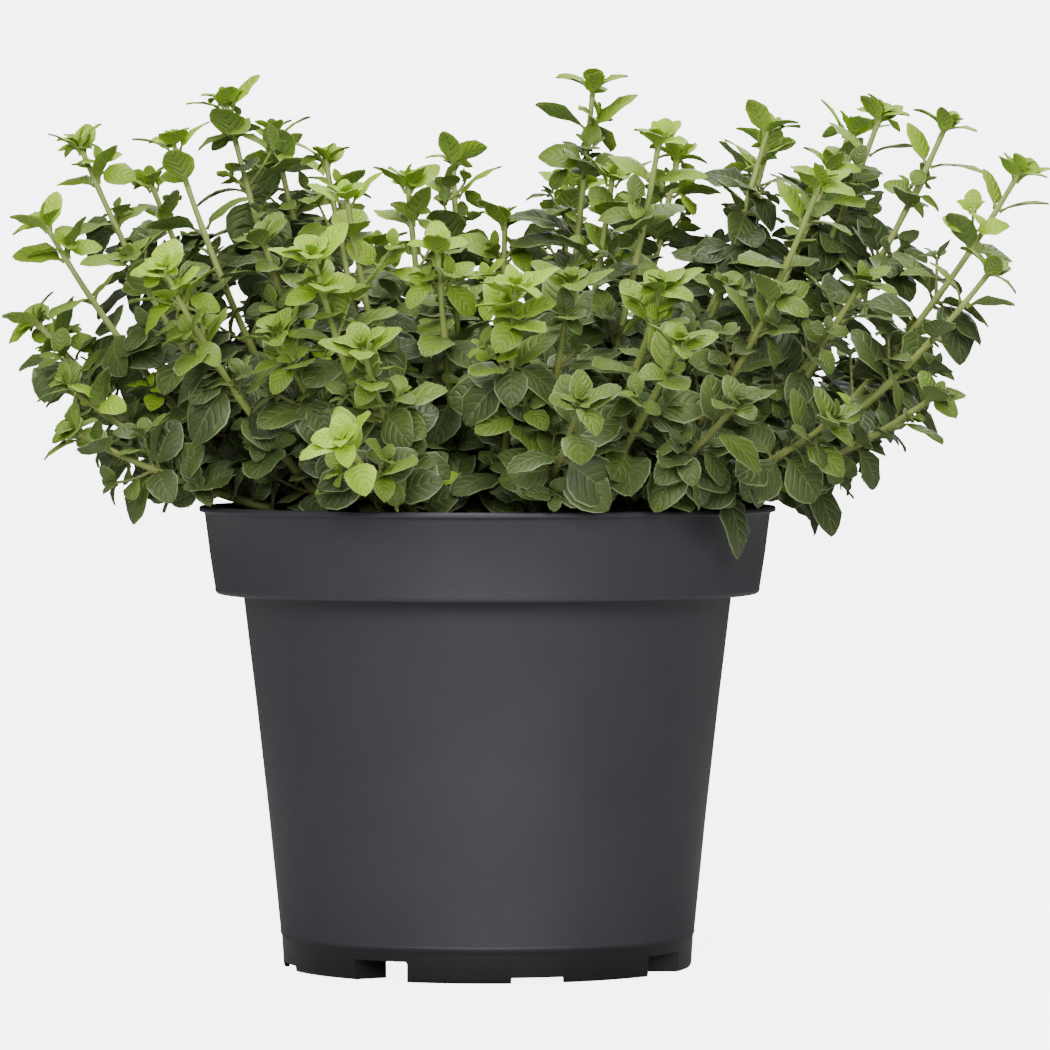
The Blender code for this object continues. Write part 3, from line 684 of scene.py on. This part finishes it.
class Sheaf:
    """Gathers the tube-like grids of one stem: points, faces, layers and UV."""

    def __init__(self):
        self.points, self.faces, self.uv = [], [], []
        self.layers = {"tone": [], "back": [], "wood": [], "down": []}
        self.count = 0

    def keep(self, points, faces, uv, **layers):
        """Points and faces, with their values for the layers."""
        self.points.append(points)
        self.faces += faces
        self.uv.append(uv)
        for key, store in self.layers.items():
            store.append(np.broadcast_to(layers.get(key, 0.0), len(points)))
        self.count += len(points)

    def add(self, grid, uv, tone, back, wood):
        """A grid of rows by ring points, closed round the ring and capped at both ends."""
        rows, ring = grid.shape[:2]
        k = np.arange(ring)
        after = (k + 1) % ring
        low = self.count + np.arange(rows - 1)[:, None] * ring
        quads = np.stack([low + k, low + after, low + ring + after, low + ring + k], -1).reshape(-1, 4)
        ends = [(self.count + k[::-1]).tolist(), (self.count + (rows - 1) * ring + k).tolist()]
        wide = {key: np.broadcast_to(value, (rows, ring)).reshape(-1)
                for key, value in (("tone", tone), ("back", back), ("wood", wood))}
        self.keep(grid.reshape(-1, 3), quads.tolist() + ends, uv.reshape(-1, 2), **wide)

    def add_down(self, roots, directions, length, tone):
        """Hairs: a needle at each root, three base corners and a tip."""
        helper = unit(np.cross(directions, (0.31, 0.17, 0.93)))
        other = np.cross(directions, helper)
        base = [roots + 0.045 * (math.cos(a) * helper + math.sin(a) * other) for a in (0.0, 2.094, 4.189)]
        points = np.stack([*base, roots + directions * length], 1).reshape(-1, 3)
        first = self.count + 4 * np.arange(len(roots))[:, None]
        needle = ((0, 1, 3), (1, 2, 3), (2, 0, 3), (2, 1, 0))
        faces = np.concatenate([first + corners for corners in needle])
        self.keep(points, faces.tolist(), np.full((len(points), 2), 0.5), tone=tone, down=1.0)

    def write(self, name, material):
        """The gathered grids as one object."""
        layers = {key: np.concatenate(store) for key, store in self.layers.items()}
        return write_mesh(name, np.concatenate(self.points), self.faces, material, 55.0, layers,
                          np.concatenate(self.uv))


def full_half_width(leaf, t):
    """Broadly ovate outline with a blunt tip, after the short stalk: w / 2 sin(pi u^0.8)^0.62."""
    u = np.clip((t - 0.13) / 0.87, 0, 1)
    return np.maximum(0.5 * leaf["width"] * np.sin(np.pi * u ** 0.8) ** 0.62, 0.42 * (1 - u))


def fine_blade(sheaf, leaf, tone, draw):
    """The blade as a thin closed shell.

    The rib is the planned parabola. The halves rise and then roll down to the rim, the
    rim waves a little, the tissue domes between rib and rim, and the stalk is round.
    """
    large = leaf["length"] > 9.5
    t = (BLADE_ROWS if large else SMALL_ROWS)[:, None]
    s = (ACROSS if large else SMALL_ACROSS)[None, :]
    under = (np.arange(s.shape[1]) > 4)[None, :] + 0 * t
    centre = blade_point(leaf, t, 0 * s)
    half = full_half_width(leaf, t)
    normal = unit(leaf["normal"] + leaf["direction"] * (2 * leaf["arch"] * t)[..., None])
    cup = leaf["fold"] * half * (1.7 * np.abs(s) - 1.05 * s * s)
    phase, waves = draw.uniform(0, 6.28), draw.uniform(1.4, 2.6)
    ripple = 0.05 * leaf["width"] * np.sin(waves * 2 * math.pi * t + phase + s)
    ripple = ripple * s * s * np.sin(math.pi * t)
    twist = draw.uniform(-0.35, 0.35) * half * s * t
    dome = 0.075 * leaf["width"] * np.sin(math.pi * t) * (1 - s * s)
    bend = draw.uniform(-0.09, 0.09) * leaf["length"] * t * t
    stalk = np.clip(1 - t / 0.16, 0, 1)
    thick = BLADE_THICKNESS * (0.4 + 0.6 * (1 - s ** 2)) + (STALK_THICKNESS - BLADE_THICKNESS) * stalk
    lift = cup + ripple + twist + dome - under * thick
    grid = centre + leaf["side"] * (s * half + bend)[..., None] + normal * lift[..., None]
    uv = np.stack(np.broadcast_arrays(t, 0.5 + 0.5 * s), -1)
    sheaf.add(grid, uv, tone, under, stalk * 0.8 + 0 * s)
    return grid


def square_tube(sheaf, centres, start, halves, tone):
    """A rounded square carried along a path: the corners are pulled in by a power law."""
    tangents = unit(np.gradient(centres, axis=0))
    sides = carried_sides(tangents, start)
    other = np.cross(tangents, sides)
    a = np.linspace(0, 2 * math.pi, 9)[:-1] + math.pi / 8
    reach = (np.abs(np.cos(a)) ** 5 + np.abs(np.sin(a)) ** 5) ** (-1 / 5)
    section = (sides[:, None] * (reach * np.cos(a))[None, :, None]
               + other[:, None] * (reach * np.sin(a))[None, :, None])
    grid = centres[:, None] + halves[:, None, None] * section
    along = np.linspace(0, 1, len(centres))[:, None]
    uv = np.stack(np.broadcast_arrays(along, np.full((1, 8), 0.5)), -1)
    sheaf.add(grid, uv, np.broadcast_to(tone, len(centres))[:, None], 0.0, 1.0)
    return grid


def viewer_side(stem, amount):
    """The way that blades of a stem face beside upwards: out of the plant, front or back."""
    outward = 0.3 * amount * np.clip(stem["tip"][0] / 80, -1, 1)
    return outward, -amount if stem["tip"][1] < 25 else amount, 0.9


def try_leaf(stem, crowd, root, face, axis, length, aspect, rise, tone, draw, clearance=1.2, turned=0.7,
             basal=False):
    """A small leaf in the first of a few turns that finds room."""
    roll, arch, fold = draw.uniform(-25, 25), draw.uniform(0.1, 0.42), draw.uniform(0.12, 0.4)
    for turn, lift, shrink in FILL_VARIANTS:
        size = length * shrink
        leaf = make_leaf(root, spun(face, axis, turn), axis, size, size * aspect, min(rise + lift, 75),
                         roll, arch, fold, viewer_side(stem, turned))
        if crowd.take(leaf, clearance, basal):
            stem["small"].append((leaf, tone))
            return 1
    return 0


def plan_tuft(stem, crowd, draw):
    """Crowded young leaves round the growing tip, each pair smaller, steeper and crosswise."""
    top = stem_point(stem["tip"], 1.0)
    axis = unit(top - stem_point(stem["tip"], 0.95))
    start = unit(stem["sides"][-1] - axis * (stem["sides"][-1] @ axis))
    for turn, length, rise, drop in TUFT_PAIRS:
        for side in (0, 180):
            face = spun(start, axis, turn + side + draw.uniform(-12, 12))
            size = length * draw.uniform(0.85, 1.2)
            leaf = make_leaf(top - axis * drop, face, axis, size, size * draw.uniform(0.66, 0.82),
                             rise + draw.uniform(-9, 9), draw.uniform(-20, 20), draw.uniform(0.1, 0.4),
                             draw.uniform(0.2, 0.5), viewer_side(stem, 0.5))
            crowd.take(leaf, 0.0)
            stem["small"].append((leaf, stem["young"]))


def plan_low_leaves(stem, crowd, draw):
    """Old broad leaves in pairs down the stem, from the last planned pair to the soil.

    Those that point at the viewer hang most, so that they show their upper face.
    """
    u = np.linspace(0, 1, 161)
    points = stem_point(stem["tip"], u)
    run = np.concatenate([[0], np.linalg.norm(np.diff(points, axis=0), axis=1).cumsum()])
    top = np.interp(stem["stations"][0], u, run) - LOW_STEP * 0.8
    stations = np.interp(np.arange(top, 2.5, -LOW_STEP), run, u)[::-1]
    if not len(stations):
        return
    tangents, sides = stem_frames(stem["tip"], stations, stem["spin"])
    for ring, (station, axis, side) in enumerate(zip(stations, tangents, sides)):
        for half in (0, 2):
            face = spun(side, axis, 90 * ((len(stations) - ring) % 2 + half) + draw.uniform(-16, 16))
            rise = draw.uniform(-12, 22) - 34 * max(0.0, -face[1] if stem["tip"][1] < 25 else face[1])
            root = stem_point(stem["tip"], station) + face * 0.9
            length, aspect = draw.uniform(10.5, 15.0), draw.uniform(0.72, 0.86)
            try_leaf(stem, crowd, root, face, axis, length, aspect, rise, draw.uniform(0.0, 0.2), draw,
                     1.0, 1.9)


def plan_inner_leaves(stem, crowd, draw):
    """Old leaves of the weak twigs inside the plant, at places and turns drawn at random.

    There are more of them at the back, where they stand dark behind the open stems.
    """
    rear = stem["tip"][1] > 10
    for _ in range(44 if rear else 18):
        u = 1 - draw.uniform(0.08 if rear else 0.22, 0.97) ** 0.8
        axis = unit(stem_point(stem["tip"], u + 0.01) - stem_point(stem["tip"], u - 0.01))
        face = spun(unit(np.cross(axis, (0.2, 0.3, 1.0))), axis, draw.uniform(0, 360))
        rise = draw.uniform(-20, 30) - 30 * max(0.0, -face[1] if stem["tip"][1] < 25 else face[1])
        try_leaf(stem, crowd, stem_point(stem["tip"], u) + face * 0.8, face, axis, draw.uniform(8.5, 14.5),
                 draw.uniform(0.7, 0.84), rise, draw.uniform(0.0, 0.25), draw, 0.85, 1.6)


def plan_basal_leaves(stem, crowd, draw):
    """Short-stalked leaves round the foot of the stem, low in the pot."""
    for _ in range(7):
        u = draw.uniform(0.01, 0.14)
        axis = unit(stem_point(stem["tip"], u + 0.01) - stem_point(stem["tip"], u))
        face = spun(unit(np.cross(axis, (0.2, 0.3, 1.0))), axis, draw.uniform(0, 360))
        length, aspect = draw.uniform(8.0, 13.0), draw.uniform(0.68, 0.84)
        rise, tone = draw.uniform(-5, 45), draw.uniform(0.0, 0.2)
        try_leaf(stem, crowd, stem_point(stem["tip"], u) + face, face, axis, length, aspect, rise, tone,
                 draw, 0.8, 1.6, True)


def plan_shoots(stem, crowd, draw):
    """Side shoots in the axils: a thin curved stalk with three pairs of broad small leaves.

    Near the tip, and most of all on the long open stems, many axils are bare.
    """
    count = len(stem["stations"])
    for ring in range(count):
        level = count - 1 - ring
        bare = 0.1 if stem["tip"][1] > 14 else BARE_SHARES[level]
        bare += 0.35 if stem["open"] and level < 5 else 0.0
        axis = stem["tangents"][ring]
        for half in (0, 2):
            face = spun(stem["sides"][ring], axis, 90 * (level % 2 + half) + draw.uniform(-14, 14))
            root = stem_point(stem["tip"], stem["stations"][ring]) + axis * 0.9 + face * 0.6
            length = draw.uniform(1.6, 3.0) if level < 2 else draw.uniform(3.0, 9.5)
            tone = SHOOT_TONES[level] * stem["young"] * draw.uniform(0.6, 1.2)
            tone = 0.9 if draw.uniform(0, 1) < 0.05 else tone
            out = unit(face * draw.uniform(0.7, 1.1) + axis * draw.uniform(0.6, 1.0))
            u = np.linspace(0, 1, 5)[:, None]
            path = root + out * length * u + np.array([0, 0, 0.22]) * length * u * u
            heading = unit(path[-1] - path[-2])
            start = spun(unit(np.cross(heading, (0.2, 0.3, 1.0))), heading, draw.uniform(0, 180))
            size = draw.uniform(3.8, 5.6) if level == 0 else draw.uniform(6.0, 9.6)
            grown = 0
            if draw.uniform(0, 1) < bare:
                continue
            for share, scale, rise, turn in SHOOT_PAIRS:
                at = path[int(round(share * 4))]
                for side in (0, 180):
                    leaf_face = spun(start, heading, turn + side)
                    length = size * scale * draw.uniform(0.85, 1.15)
                    aspect, lean = draw.uniform(0.62, 0.82), rise + draw.uniform(-12, 12)
                    grown += try_leaf(stem, crowd, at + leaf_face * 0.3, leaf_face, heading, length, aspect,
                                      lean, tone + draw.uniform(-0.1, 0.1), draw, 0.85)
            if grown:
                stem["twigs"].append((path, start, tone))


def plan_small_parts():
    """Tufts first, then old leaves low down, shoots, and inner leaves, where they find room."""
    clouds = [blade_samples(leaf) for stem in stems.values() for leaf in stem["leaves"].values()]
    clouds += [stem_point(stem["tip"], np.linspace(0, 1, 60)) for stem in stems.values()]
    crowd = Crowd(clouds)
    for index, (name, stem) in enumerate(stems.items()):
        height = (stem["tip"][2] - COLLAR) / 95.0
        draw = np.random.RandomState(4000 + index)
        stem["young"] = YOUNG.get(name, 0.62 + 0.25 * height + draw.uniform(-0.1, 0.1))
        stem["small"], stem["twigs"], stem["open"] = [], [], name in BARE_STEMS
        plan_tuft(stem, crowd, draw)
    for seed, plan in ((6000, plan_low_leaves), (7000, plan_shoots), (9000, plan_basal_leaves),
                       (8000, plan_inner_leaves)):
        for index, stem in enumerate(stems.values()):
            plan(stem, crowd, np.random.RandomState(seed + index))


def stem_tube(sheaf, stem):
    """The main stem, swollen a little at each pair of leaves."""
    u = np.linspace(0, 1, 46)
    body = stem_point(stem["tip"], u)
    root = body[0] + np.array([[0, 0, ROOT_END - COLLAR], [0, 0, 0.45 * (ROOT_END - COLLAR)]])
    along = np.concatenate([[0, 0], u])
    swell = sum(np.exp(-((along - station) * 60) ** 2) for station in stem["stations"])
    halves = (STEM_ROOT + (STEM_TIP - STEM_ROOT) * along) * (0.9 + 0.16 * swell)
    halves[-1] = 0.25
    tone = np.clip(0.12 + 0.88 * along * stem["young"], 0, 1)
    start = np.array([math.cos(stem["spin"]), math.sin(stem["spin"]), 0.0])
    return square_tube(sheaf, np.concatenate([root, body]), start, halves, tone)


def downy_stem(sheaf, stem, grid, draw):
    """Hairs scattered over the stem's own grid, standing out from its centre line."""
    rows, ring = grid.shape[:2]
    count = int(2.6 * (stem["tip"][2] - COLLAR) + 60)
    row = draw.uniform(4, rows - 2, count)
    low = row.astype(int)
    corner = draw.randint(0, ring, count)
    share = (row - low)[:, None]
    roots = grid[low, corner] * (1 - share) + grid[low + 1, corner] * share
    middle = grid.mean(axis=1)[low] * (1 - share) + grid.mean(axis=1)[low + 1] * share
    out = unit(unit(roots - middle) + draw.uniform(-0.35, 0.35, (count, 3)))
    sheaf.add_down(roots - 0.04 * out, out, draw.uniform(0.4, 0.95, (count, 1)), 0.8)


def downy_rim(sheaf, leaf, grid, draw):
    """Short hairs along both rims of a blade."""
    for corner, way in ((0, -1), (4, 1)):
        row = draw.uniform(2.5, len(grid) - 1.6, 11)
        low = row.astype(int)
        share = (row - low)[:, None]
        roots = grid[low, corner] * (1 - share) + grid[low + 1, corner] * share
        out = unit(way * leaf["side"] + 0.35 * leaf["direction"] + draw.uniform(-0.3, 0.3, (11, 3)))
        sheaf.add_down(roots - 0.03 * out, out, draw.uniform(0.25, 0.5, (11, 1)), 0.6)


def leaf_tissue():
    """Soft, finely haired leaf: deep green when old, yellow-green when young.

    The veins are sunken and paler, the rim is a thin pale line, the underside is greyer,
    and the stalks and stems are pale green, brownish near the soil.
    """
    material, tree, shader = new_material(
        "oregano_leaf_tissue", Roughness=0.47, IOR=1.42, Subsurface_Weight=0.1, Subsurface_Scale=0.0005,
        Subsurface_Radius=(0.6, 1.0, 0.25), Sheen_Weight=0.03, Sheen_Roughness=0.5, Sheen_Tint="e8f0d0")
    place = add_node(tree, "TexCoord", output="Object")
    tone, back, wood, down = (add_node(tree, "Attribute", output="Fac", attribute_name=key)
                              for key in ("tone", "back", "wood", "down"))
    blade = add_node(tree, "UVMap", uv_map="blade")
    along = add_node(tree, "SeparateXYZ", {"Vector": blade}, "X")
    side = add_node(tree, "SeparateXYZ", {"Vector": blade}, "Y")
    signed = add_node(tree, "Math", {0: side, 1: 2.0, 2: -1.0}, operation="MULTIPLY_ADD")
    across = add_node(tree, "Math", {0: signed}, operation="ABSOLUTE")

    # colour by age, in patches of about a leaf's size
    patch = add_node(tree, "TexNoise", {"Vector": place, "Scale": 110.0, "Detail": 3.0})
    fine = add_node(tree, "TexNoise", {"Vector": place, "Scale": 1500.0, "Detail": 3.0})
    shift = add_node(tree, "Math", {0: patch, 1: 0.36, 2: -0.18}, operation="MULTIPLY_ADD")
    age = add_node(tree, "Math", {0: tone, 1: shift}, operation="ADD", use_clamp=True)
    green = add_node(tree, "ValToRGB", {"Fac": age},
                     stops=[(0.0, "323f22"), (0.22, "485a24"), (0.5, "69851f"), (0.78, "88a91c"),
                            (1.0, "a2c81c")])

    # side veins leave the rib forwards and bend towards the tip
    curve = add_node(tree, "Math", {0: across, 1: 1.35}, operation="POWER")
    forward = add_node(tree, "Math", {0: curve, 1: 0.34}, operation="MULTIPLY")
    start = add_node(tree, "Math", {0: along, 1: forward}, operation="SUBTRACT")
    count = add_node(tree, "Math", {0: start, 1: 6.0}, operation="MULTIPLY")
    wave = add_node(tree, "Math", {0: count}, operation="FRACT")
    middle = add_node(tree, "Math", {0: wave, 1: 0.5}, operation="SUBTRACT")
    off = add_node(tree, "Math", {0: middle}, operation="ABSOLUTE")
    side_vein = add_node(tree, "MapRange", {"Value": off, "From Min": 0.09, "From Max": 0.0},
                         interpolation_type="SMOOTHSTEP")
    rib = add_node(tree, "MapRange", {"Value": across, "From Min": 0.08, "From Max": 0.0},
                   interpolation_type="SMOOTHSTEP")
    fade = add_node(tree, "MapRange", {"Value": across, "From Min": 0.9, "From Max": 0.5})
    faded = add_node(tree, "Math", {0: side_vein, 1: fade}, operation="MULTIPLY")
    veins = add_node(tree, "Math", {0: faded, 1: rib}, operation="MAXIMUM")
    rim = add_node(tree, "MapRange", {"Value": across, "From Min": 0.9, "From Max": 0.97})

    # fine mottle, pale veins and rim and grey underside, then stems and stalks, and hairs
    for part, weight, tint in ((fine, 0.08, "a9c07c"), (veins, 0.2, "9dbb6c"), (rim, 0.4, "b3c98a"),
                               (back, 0.4, "879c66")):
        share = add_node(tree, "Math", {0: part, 1: weight}, operation="MULTIPLY")
        green = add_node(tree, "Mix", {0: share, 6: green, 7: tint}, 2, data_type="RGBA")
    skin = add_node(tree, "ValToRGB", {"Fac": tone},
                    stops=[(0.0, "57512f"), (0.25, "6f7640"), (0.55, "8d9c4e"), (1.0, "a6b765")])
    colour = add_node(tree, "Mix", {0: wood, 6: green, 7: skin}, 2, data_type="RGBA")
    colour = add_node(tree, "Mix", {0: down, 6: colour, 7: "c9d3a4"}, 2, data_type="RGBA")
    tree.links.new(colour, shader.inputs["Base Color"])

    # relief: the tissue swells between the sunken veins
    quilt = add_node(tree, "MapRange", {"Value": off, "From Max": 0.3},
                     interpolation_type="SMOOTHSTEP")
    soft = add_node(tree, "Math", {0: quilt, 1: fade}, operation="MULTIPLY")
    swell = add_node(tree, "Math", {0: soft, 1: 1.4}, operation="MULTIPLY")
    sunk = add_node(tree, "Math", {0: swell, 1: veins}, operation="SUBTRACT")
    relief = add_node(tree, "Math", {0: fine, 1: 0.3, 2: sunk}, operation="MULTIPLY_ADD")
    bump = add_node(tree, "Bump", {"Height": relief, "Strength": 0.5, "Distance": 0.00024})
    tree.links.new(bump, shader.inputs["Normal"])
    return material


tissue = leaf_tissue()


def dress_stem(name, index, stem):
    """The fine piece for one stem: tube, planned leaves, small leaves, shoots and down."""
    draw = np.random.RandomState(5000 + index)
    sheaf = Sheaf()
    downy_stem(sheaf, stem, stem_tube(sheaf, stem), draw)
    for (ring, corner), leaf in stem["leaves"].items():
        level = len(stem["stations"]) - 1 - ring
        tone = stem["young"] * LEVEL_TONES[level] + draw.uniform(-0.07, 0.07)
        full = dict(leaf, length=leaf["length"] * LEVEL_LENGTHS[level],
                    width=leaf["width"] * LEVEL_WIDTHS[level])
        downy_rim(sheaf, leaf, fine_blade(sheaf, full, tone, draw), draw)
    for leaf, tone in stem["small"]:
        fine_blade(sheaf, leaf, tone, draw)
    for path, start, tone in stem["twigs"]:
        square_tube(sheaf, path, start, np.linspace(0.42, 0.3, len(path)), tone)
    piece = sheaf.write("leafy_stem_" + name, tissue)
    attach(piece, "root")
    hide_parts("stem_" + name)


plan_small_parts()
for index, (name, stem) in enumerate(stems.items()):
    dress_stem(name, index, stem)
